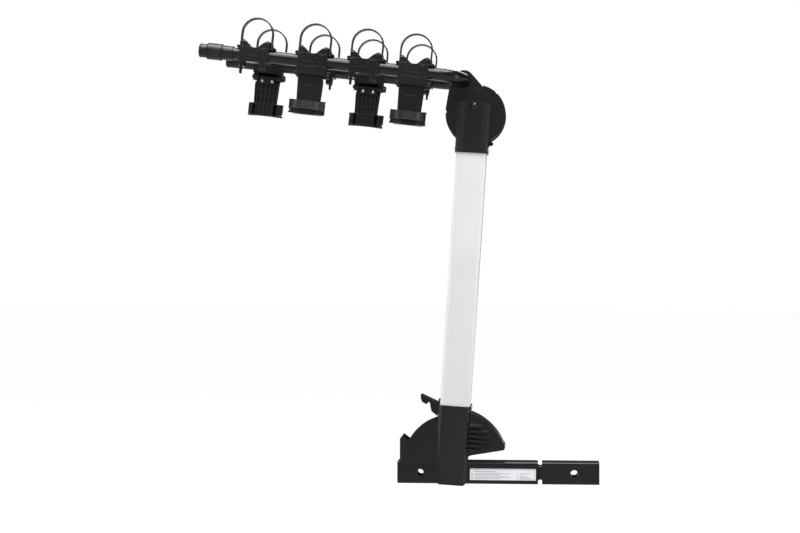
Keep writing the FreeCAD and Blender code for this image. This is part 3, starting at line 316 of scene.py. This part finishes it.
class Shape:
    """Faces gathered from several forms, which become one piece."""

    def __init__(self):
        self.vertices, self.faces = [], []

    def add(self, points, faces, matrix):
        start = len(self.vertices)
        self.vertices += [matrix @ Vector(point) for point in points]
        self.faces += [[start + index for index in face] for face in faces]

    def extrude(self, matrix, outline, low, high, draft=1.0):
        """Outline in the frame's x and z, from y=low to y=high, where it shrinks by the draft."""
        count = len(outline)
        across, along = [sum(point[axis] for point in outline) / count for axis in (0, 1)]
        points = [(x, low, z) for x, z in outline]
        points += [(across + draft * (x - across), high, along + draft * (z - along)) for x, z in outline]
        faces = [list(range(count)), list(range(2 * count - 1, count - 1, -1))]
        faces += [[i, i + count, (i + 1) % count + count, (i + 1) % count] for i in range(count)]
        self.add(points, faces, matrix)

    def skin(self, matrix, sections):
        """Closed skin through (y, outline) sections, each outline in the frame's x and z."""
        count = len(sections[0][1])
        last = (len(sections) - 1) * count
        points = [(x, y, z) for y, outline in sections for x, z in outline]
        faces = [list(range(count)), list(range(last + count - 1, last - 1, -1))]
        for start in range(0, last, count):
            for i in range(count):
                after = (i + 1) % count
                faces.append([start + i, start + i + count, start + after + count, start + after])
        self.add(points, faces, matrix)

    def loft(self, matrix, outline, sections):
        """Outline in the frame's x and z, scaled about its middle at each (y, scale) section."""
        across, along = [sum(point[axis] for point in outline) / len(outline) for axis in (0, 1)]
        self.skin(matrix, [(y, [(across + scale * (x - across), along + scale * (z - along))
                                for x, z in outline])
                           for y, scale in sections])

    def turn(self, matrix, profile, segments=40, lobes=0, swell=0.0):
        """Profile of (height, radius) turned about the frame's z; lobes make a grip."""
        points, faces = [], []
        for height, radius in profile:
            for step in range(segments):
                angle = 2.0 * math.pi * step / segments
                reach = radius * (1.0 + swell * math.cos(lobes * angle))
                points.append((reach * math.cos(angle), reach * math.sin(angle), height))
        for ring in range(len(profile) - 1):
            for step in range(segments):
                after = (step + 1) % segments
                faces.append([ring * segments + step, ring * segments + after,
                              (ring + 1) * segments + after, (ring + 1) * segments + step])
        faces.append(list(range(segments - 1, -1, -1)))
        faces.append([(len(profile) - 1) * segments + step for step in range(segments)])
        self.add(points, faces, matrix)

    def ring(self, matrix, profile, segments=72):
        """Closed profile of (height, radius) turned about the frame's z."""
        points, faces, count = [], [], len(profile)
        for step in range(segments):
            angle = 2.0 * math.pi * step / segments
            points += [(r * math.cos(angle), r * math.sin(angle), h) for h, r in profile]
        for step in range(segments):
            here, there = step * count, ((step + 1) % segments) * count
            for index in range(count):
                after = (index + 1) % count
                faces.append([here + index, here + after, there + after, there + index])
        self.add(points, faces, matrix)

    def finish(self, name, body, slot, material=None, edge=0.0, angle=35.0):
        """One piece that rides on a body, with its edges rounded by a width in millimetres."""
        mesh = bpy.data.meshes.new(name)
        mesh.from_pydata(self.vertices, [], self.faces)
        mesh.validate()
        outward = bmesh.new()
        outward.from_mesh(mesh)
        bmesh.ops.recalc_face_normals(outward, faces=outward.faces)
        outward.to_mesh(mesh)
        outward.free()
        item = bpy.data.objects.new(name, mesh)
        scene.collection.objects.link(item)
        bpy.context.view_layer.objects.active = item
        mesh.materials.append(material or FINISH[slot])
        for polygon in mesh.polygons:
            polygon.use_smooth = True
        mesh.set_sharp_from_angle(angle=math.radians(angle))
        if edge:
            round_edges(item, edge, keep_sharp=False)
        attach(item, body)
        return item


def rectangle(x0, x1, low, high):
    """Outline with four corners, from x0 to x1 and from low to high."""
    return [(x0, low), (x1, low), (x1, high), (x0, high)]


def dome(radius, height, foot, steps=6):
    """Profile of a shallow dome whose side starts at z=foot."""
    angles = [0.5 * math.pi * i / steps for i in range(1, steps)]
    curve = [(height * math.sin(angle), radius * math.cos(angle)) for angle in angles]
    return [(foot, radius)] + curve + [(height, 0.02 * radius)]


# ---- fan guard, head and hub -----------------------------------------------------------

GUARD_FRONT, GUARD_SIDE = 36.3, 35.0
RIB_ROOT, RIB_PROUD = 0.4, 6.4
# Height of each rib up the mast, and how far it runs out from the guard's front.
RIB_ROWS = ((40.5, 27.0), (51.0, 43.0), (62.0, 52.0), (72.5, 54.0), (84.0, 48.0), (95.5, 34.0))

ribs = Shape()
for low, reach in RIB_ROWS:
    end = GUARD_FRONT + reach
    foot = [(GUARD_FRONT, low), (end, low + 2.4), (end + 1.5, low + 3.2), (end, low + 4.2),
            (GUARD_FRONT, low + 7.6)]
    crest = [(GUARD_FRONT, low + 0.4), (end - 7.0, low + 2.3), (end - 6.0, low + 2.6), (end - 7.0, low + 2.9),
             (GUARD_FRONT, low + 1.6)]
    for side in (-1, 1):
        ribs.skin(MAST, [(side * (GUARD_SIDE - RIB_ROOT), foot), (side * (GUARD_SIDE + RIB_PROUD), crest)])
ribs.finish("guard_ribs", "mast", "black_plastic", edge=0.25)

BUTTON_Y, BUTTON_Z = 40.0, 13.0
BUTTON_RADIUS, BUTTON_RISE, BUTTON_SEAT = 7.4, 3.2, 1.3
button_cap = [(BUTTON_SEAT + BUTTON_RISE * math.sin(angle), BUTTON_RADIUS * math.cos(angle))
              for angle in (0.25, 0.5, 0.75, 1.0, 1.25, 1.45)]
button_profile = [(-0.4, 9.2), (0.5, 9.2), (BUTTON_SEAT, 8.6), (BUTTON_SEAT, BUTTON_RADIUS)]
button_profile += button_cap + [(4.6, 0.3)]
for side, word in SIDES:
    button = Shape()
    button.turn(towards(HEAD, (0.0, side * BUTTON_Y, BUTTON_Z), (0, side, 0)), button_profile)
    button.finish("head_button_" + word, "mast", "black_plastic")

# Round heads with a socket: one pair in the fork's front, two pairs in the head.
HEAD_SCREW_Z = MAST_REACH - 83.0
SCREW_PAIRS = ((36.2, 133.5, 18.0), (37.5, HEAD_SCREW_Z, 20.0), (-37.5, HEAD_SCREW_Z, 20.0))
SCREW_PROFILE = [(-0.2, 4.4), (0.9, 4.4), (1.6, 3.7), (1.8, 2.6), (1.8, 2.0), (0.9, 1.8), (0.9, 0.1)]
screws = Shape()
for x, z, y in SCREW_PAIRS:
    for side in (-1, 1):
        screws.turn(towards(MAST, (x, side * y, z), (math.copysign(1.0, x), 0, 0)), SCREW_PROFILE, 24)
screws.finish("screw_heads", "mast", "zinc_steel")
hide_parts("mast_screws")

# The discs' middle in the frame of the arms, and their outermost face. DISC_SUNK is a height over
# that face, where the trim starts.
DISC_X, DISC_Z, DISC_FACE_Y = 4.312, -3.909, 30.0
DISC_SUNK = -2.6
SPOKES = 24
SPOKE_OUTLINE = [(47.0, -0.7), (59.4, -0.9), (59.4, 0.9), (47.0, 0.7)]
disc_rim = [(DISC_SUNK, 61.0), (-1.4, 61.6), (-1.4, 60.2), (DISC_SUNK, 59.6)]
disc_step = [(DISC_SUNK, 46.2), (-1.5, 45.6), (-1.5, 44.2), (DISC_SUNK, 43.6)]
disc_boss = [(DISC_SUNK, 27.0), (-1.7, 26.4), (-1.2, 24.0), (-1.2, 20.5), (-0.3, 19.6), (-0.3, 11.0)]
for side, word in SIDES:
    trim = Shape()
    axle = towards(ARMS, (DISC_X, side * DISC_FACE_Y, DISC_Z), (0, side, 0))
    trim.ring(axle, disc_rim)
    trim.ring(axle, disc_step)
    trim.turn(axle, disc_boss)
    for order in range(SPOKES):
        spoke = axle @ Matrix.Rotation(math.radians(360.0 / SPOKES * order), 4, "Z")
        upright = spoke @ Matrix.Rotation(math.radians(90.0), 4, "X")
        trim.extrude(upright, SPOKE_OUTLINE, DISC_SUNK, -1.7, 0.9)
    trim.finish("disc_trim_" + word, "arms", "black_plastic")

# ---- arm ends --------------------------------------------------------------------------

KNOB_END_X, FAR_END_X = -633.0, -603.5
knob_axis = towards(ARMS, (KNOB_END_X, -ARM_GAP, ARM_OFFSET), (1, 0, 0))

GRIP_RIBS = 14
GRIP_RIB = [(18.2, 26.5), (18.9, 28.0), (18.9, 43.0), (18.2, 44.5)]
grip = Shape()
for height in (3.4, 16.8):
    grip.ring(knob_axis, [(height - 0.6, 15.4), (height, 16.3), (height + 0.8, 16.3), (height + 1.4, 15.4)])
for height in (21.2, 49.0):
    grip.ring(knob_axis, [(height - 0.6, 18.5), (height, 19.5), (height + 1.0, 19.5), (height + 1.6, 18.5)])
for order in range(GRIP_RIBS):
    rib = knob_axis @ Matrix.Rotation(2.0 * math.pi * order / GRIP_RIBS, 4, "Z")
    grip.extrude(rib, GRIP_RIB, -0.9, 0.9)
grip.finish("lock_grip", "lock_knob", "black_plastic")

beads = Shape()
for height, radius in ((53.6, 17.0), (76.8, 16.9)):
    beads.ring(knob_axis, [(height - 0.7, 16.0), (height, radius), (height + 1.0, radius),
                           (height + 1.7, 16.0)])
beads.finish("lock_ring_beads", "arms", "black_plastic")

end_trim = Shape()
far_axis = towards(ARMS, (FAR_END_X, ARM_GAP, ARM_OFFSET), (1, 0, 0))
end_trim.ring(far_axis, [(5.4, 14.2), (5.6, 14.9), (7.4, 14.9), (7.6, 14.2)])
for x, size in ((-590.0, 6.0), (-573.0, 4.2)):
    rivet = [(-1.5, size), (1.9, size), (2.5, size - 0.6), (2.5, size - 1.8), (1.4, size - 2.2), (1.4, 0.2)]
    end_trim.turn(towards(ARMS, (x, ARM_GAP - 13.2, ARM_OFFSET - 1.0), (0, -1, 0)), rivet, 28)
end_trim.finish("far_end_trim", "arms", "black_plastic")

# ---- saddles ---------------------------------------------------------------------------

HINGE_Z = -29.0
SADDLE_FACE, BAND_FACE, SEAM_FACE = 18.2, 19.7, 19.3
HORN_FOOT, HORN_TOP, HORN_SIDE = 16.4, 34.0, 33.8
HORN_TIP, HORN_SLOPE = 24.2, 1.11
# The horns' height over the saddle's width: full in the middle, and rounded off at both faces.
CROWN = [(-16.6, 28.6), (-15.9, 30.2), (-10.6, 33.7), (-8.6, HORN_TOP), (8.6, HORN_TOP), (10.6, 33.7),
         (15.9, 30.2), (16.6, 28.6)]
# The rear horn is in two halves, with a gap between them that a web closes towards the V.
REAR_HALVES = (CROWN[:4], CROWN[4:])


def horn(top, sign):
    """Outline of one horn of the saddle's V, cut off at a height."""
    tip = HORN_TIP - HORN_SLOPE * (HORN_TOP - top)
    outline = [(5.5, HORN_FOOT), (HORN_SIDE, HORN_FOOT), (HORN_SIDE, top - 2.6), (32.6, top - 0.6),
               (30.4, top), (tip + 2.2, top), (tip, top - 0.8)]
    return [(sign * x, z) for x, z in outline]


def saddle_horns(block, local):
    block.skin(local, [(y, horn(top, 1)) for y, top in CROWN])
    for half in REAR_HALVES:
        block.skin(local, [(y, horn(top, -1)) for y, top in half])
    block.loft(local, [(-24.4, HORN_FOOT), (-6.2, HORN_FOOT), (-24.4, 32.6)], [(-8.6, 1.0), (8.6, 1.0)])


def saddle_hinge(block, local, side):
    """Two hinge lugs for the cradle and the cover over them on the outer face."""
    for sign in (-1, 1):
        block.turn(towards(local, (sign * 22.0, 0.0, HINGE_Z), (sign, 0, 0)), [(0.0, 9.0), (12.0, 9.0)], 40)
        block.loft(local, rectangle(sign * 22.4, sign * 33.6, HINGE_Z, -17.0), [(-8.8, 1.0), (8.8, 1.0)])
    cover = [(-33.0, -12.0), (-33.0, -27.0), (-28.5, -32.0), (28.5, -32.0), (33.0, -27.0), (33.0, -12.0)]
    block.loft(local, cover, [(side * 15.5, 1.0), (side * 19.1, 0.985)])


def saddle_legs(block, small, local, side):
    """Two short legs below the arm and the tab under one of them."""
    level = [(-16.0, 1.0), (16.0, 1.0)]
    block.loft(local, rectangle(-33.7, -20.5, -27.0, -14.0), level)
    block.loft(local, [(13.5, -31.0), (26.0, -31.0), (27.5, -14.0), (13.5, -14.0)], level)
    middle = -29.0 if side < 0 else 23.0
    tab = [(middle - 2.0, -43.0), (middle + 2.0, -43.0), (middle + 2.6, -24.0), (middle - 2.6, -24.0)]
    small.loft(local, tab, [(-7.0, 1.0), (7.0, 1.0)])


def strap_holders(small, local):
    """Lug and pin at the strap's rear end, and the hook for its front end."""
    lug = [(-33.5, 14.6), (-33.5, 20.5), (-38.0, 21.0), (-41.5, 19.0), (-41.5, 15.5), (-40.0, 14.6)]
    small.loft(local, lug, [(-11.0, 0.9), (-9.5, 1.0), (9.5, 1.0), (11.0, 0.9)])
    hook = [(33.5, 14.6), (46.4, 14.6), (46.4, 19.0), (44.6, 21.0), (41.0, 21.0), (41.0, 17.0), (33.5, 17.0)]
    small.loft(local, hook, [(-11.0, 1.0), (11.0, 1.0)])
    small.turn(towards(local, (-30.0, -12.0, 28.0), (0, 1, 0)), [(0.0, 2.0), (24.0, 2.0)], 24)


def saddle_body(name, index, side, sways):
    """Rounded mouldings that stand for the CAD saddle: its body, and the small parts on it."""
    local = station(index, side)
    block, small = Shape(), Shape()
    bottom = -20.4 if sways else -16.0
    base = [(-34.0, bottom), (34.0, bottom), (34.0, 17.6), (6.0, 17.6), (5.2, 17.0), (-5.2, 17.0),
            (-6.0, 17.6), (-34.0, 17.6)]
    block.loft(local, base, [(-18.5, 0.985), (-17.0, 1.0), (17.0, 1.0), (18.5, 0.985)])
    saddle_horns(block, local)
    if sways:
        saddle_hinge(block, local, side)
    else:
        saddle_legs(block, small, local, side)
    strap_holders(small, local)
    body = block.finish("saddle_body_" + name, "arms", "black_plastic", edge=1.5)
    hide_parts("saddle_" + name)
    small.finish("saddle_hook_" + name, "arms", "black_plastic", edge=0.5)


def saddle_trim(name, index, side, sways):
    """Raised bands, clamp seam and screw bosses on the saddle's outer and inner faces."""
    local = station(index, side)
    rear_low, front_low = (-17.0, -17.0) if sways else (-26.0, -30.0)
    boss = [(-0.3, 3.4), (0.9, 3.2), (1.3, 2.7), (1.3, 1.7), (0.5, 1.5), (0.5, 0.1)]
    trim = Shape()
    for face in (-1, 1):
        base, proud = face * SADDLE_FACE, face * BAND_FACE
        trim.extrude(local, rectangle(-33.2, -25.6, rear_low, 15.0), base, proud, 0.97)
        trim.extrude(local, rectangle(14.6, 25.0, front_low, 15.0), base, proud, 0.97)
        trim.extrude(local, rectangle(-24.6, 13.6, -4.6, -1.6), base, face * SEAM_FACE, 0.98)
        for x in (-19.5, 8.5):
            trim.turn(towards(local, (x, base, 6.2), (0, face, 0)), boss, 24)
    trim.finish("saddle_trim_" + name, "arms", "black_plastic", edge=0.4)


# ---- straps and cradles ----------------------------------------------------------------

ARCH_X, ARCH_Z, ARCH_RADIUS = 1.5, 49.5, 36.3
STUD_RADIUS, STUD_HEIGHT, STUD_FOOT = 2.2, 1.3, -0.4
CUP_LIP_DROP = 27.4


def strap_trim(name, index, side):
    """Pull tab at the hooked end and two studs on the arch."""
    local = station(index, side)
    tab = Shape()
    tab.extrude(local, [(37.6, 18.6), (39.9, 18.6), (40.1, 24.0), (39.2, 29.0), (37.6, 31.0)], -7.4, 7.4)
    for degrees in (18.0, 30.0):
        across, up = math.cos(math.radians(degrees)), math.sin(math.radians(degrees))
        point = (ARCH_X + ARCH_RADIUS * across, 0.0, ARCH_Z + ARCH_RADIUS * up)
        tab.turn(towards(local, point, (across, 0, up)), dome(STUD_RADIUS, STUD_HEIGHT, STUD_FOOT), 20)
    tab.finish("strap_tab_" + name, "strap_" + name, "strap_rubber", edge=0.6)


def cradle_bolts(name, local):
    bolts = Shape()
    for x in (-12.0, 12.0):
        bolts.turn(towards(local, (x, 6.8, -38.5), (0, 1, 0)),
                   [(-0.4, 3.6), (1.1, 3.6), (2.0, 2.9), (2.4, 1.6), (2.4, 0.1)], 24)
    bolts.finish("cradle_bolts_" + name, "sway_" + name, "zinc_steel")


def cradle_webs(name, local):
    """Webs, flanges and cup on the cradle's inner face, and ridges and a panel on its outer face."""
    webs = Shape()
    for z in (-59.0, -75.0):
        webs.extrude(local, rectangle(-23.0, 23.0, z - 0.8, z + 0.8), 2.6, 6.2)
    for x in (-20.0, -10.0, 0.0, 10.0, 20.0):
        stiffener = [(x - 1.5, -119.6), (x + 1.5, -119.6), (x + 1.3, -91.0), (x - 1.3, -91.0)]
        webs.extrude(local, stiffener, 6.6, 10.4)
    cup_post = [(-1.8, 2.6), (0.0, 3.0), (0.0, 5.8), (2.0, 6.8), (24.0, 6.8), (26.0, 5.8), (26.0, 3.0),
                (28.0, 2.6)]
    for sign in (-1, 1):
        webs.turn(towards(local, (sign * 32.0, 0.5, -118.8), (0, 0, 1)), cup_post, 28)
        flange = [(sign * 26.2, -91.5), (sign * 24.2, -91.5), (sign * 26.0, -46.0), (sign * 28.2, -46.0)]
        webs.extrude(local, flange, 2.6, 8.6)
    for drop in (0.0, CUP_LIP_DROP):
        webs.extrude(local, rectangle(-30.5, 30.5, -93.4 - drop, -91.0 - drop), 6.6, 8.0)
    for sign in (-1, 1):
        foot = [(sign * 16.0, -88.0), (sign * 20.0, -88.0), (sign * 22.0, -48.0), (sign * 18.0, -48.0)]
        crest = [(sign * 17.6, -86.0), (sign * 18.4, -86.0), (sign * 20.4, -50.0), (sign * 19.6, -50.0)]
        webs.skin(local, [(-11.4, foot), (-13.4, crest)])
    webs.extrude(local, [(-12.6, -84.0), (12.6, -84.0), (13.2, -54.0), (-13.2, -54.0)], -11.6, -12.5, 0.95)
    webs.finish("cradle_webs_" + name, "sway_" + name, "black_plastic", edge=0.35)


def hinge_knob(name, index, side):
    """Lobed knob at the front of the cradle's hinge pin and its plain head at the rear."""
    knob = Shape()
    knob.turn(towards(station(index, side), (34.6, 0.0, HINGE_Z), (1, 0, 0)),
              [(-0.2, 6.2), (0.6, 7.4), (5.6, 7.4), (6.6, 6.6), (7.2, 4.0), (7.2, 0.2)], 48,
              lobes=12, swell=0.035)
    knob.turn(towards(station(index, side), (-34.4, 0.0, HINGE_Z), (-1, 0, 0)),
              [(-0.2, 5.0), (1.8, 5.0), (2.9, 4.2), (3.3, 2.4), (3.3, 0.2)], 32)
    knob.finish("sway_knob_" + name, "arms", "black_plastic")


def cradle_trim(name, index, side):
    """What is added to one cradle, which faces the other way on the far arm."""
    local = station(index, side, 0.0 if side < 0 else 180.0)
    cradle_bolts(name, local)
    cradle_webs(name, local)
    hinge_knob(name, index, side)


for side, word in SIDES:
    for index in range(len(STATIONS[side])):
        name = "%s_%d" % (word, index + 1)
        sways = (index, side) in SWAY_STATIONS
        saddle_body(name, index, side, sways)
        saddle_trim(name, index, side, sways)
        strap_trim(name, index, side)
        if sways:
            cradle_trim(name, index, side)

# ---- label on the hitch tube -----------------------------------------------------------

LABEL_FACE, INK_DEPTH = -25.79, 0.07
ROWS, FIRST_ROW, ROW_PITCH = 5, -0.6, 2.9
lines = Shape()


def bar(x0, x1, z, height):
    """Grey line on the label from x0 to x1, with its middle at one height."""
    outline = rectangle(x0, x1, z - height / 2, z + height / 2)
    lines.extrude(WORLD, outline, LABEL_FACE, LABEL_FACE - INK_DEPTH)


bar(-235.4, -88.6, 8.0, 1.0)
bar(-228.0, -176.0, 3.4, 1.1)
for row in range(ROWS):
    row_z = FIRST_ROW - ROW_PITCH * row
    bar(-234.0, -230.0, row_z, 1.0)
    bar(-227.0, -(146.0 + 11.0 * ((row * 5) % 3)), row_z, 0.75)
    bar(-124.0, -(96.0 + 7.0 * ((row * 3) % 4)), row_z, 0.7)
for x in (-129.0, -90.5):
    bar(x, x + 0.5, -4.6, 20.0)
bar(-129.0, -90.0, -14.4, 0.5)
lines.finish("label_lines", "base", "label_foil", INK)

# ---- weld beads ------------------------------------------------------------------------

LONG_BEAD = [(-1.9, 0.3), (-1.2, 1.5), (0.2, 1.9), (1.4, 1.5), (1.9, 0.3)]
SHORT_BEAD = [(-1.4, 0.3), (-0.8, 1.2), (0.2, 1.5), (0.9, 1.2), (1.4, 0.3)]
LONG_START, LONG_PITCH, LONG_BEADS = -397.0, 3.05, 22
SHORT_START, SHORT_PITCH, SHORT_BEADS = -14.0, 2.0, 15
TUBE_FRONT, SHANK_SIDE = -81.8, 16.3

weld = Shape()
for side in (-1, 1):
    for order in range(LONG_BEADS):
        x = LONG_START + LONG_PITCH * order
        weld.turn(towards(WORLD, (x, side * 25.6, 25.1), (1, 0, 0)), LONG_BEAD, 10)
for step in range(SHORT_BEADS):
    offset = SHORT_START + SHORT_PITCH * step
    for flip in (-1, 1):
        weld.turn(towards(WORLD, (TUBE_FRONT, offset, flip * SHANK_SIDE), (0, 1, 0)), SHORT_BEAD, 10)
        weld.turn(towards(WORLD, (TUBE_FRONT, flip * SHANK_SIDE, offset), (0, 0, 1)), SHORT_BEAD, 10)
weld.finish("weld_beads", "base", "black_coat", angle=60.0)
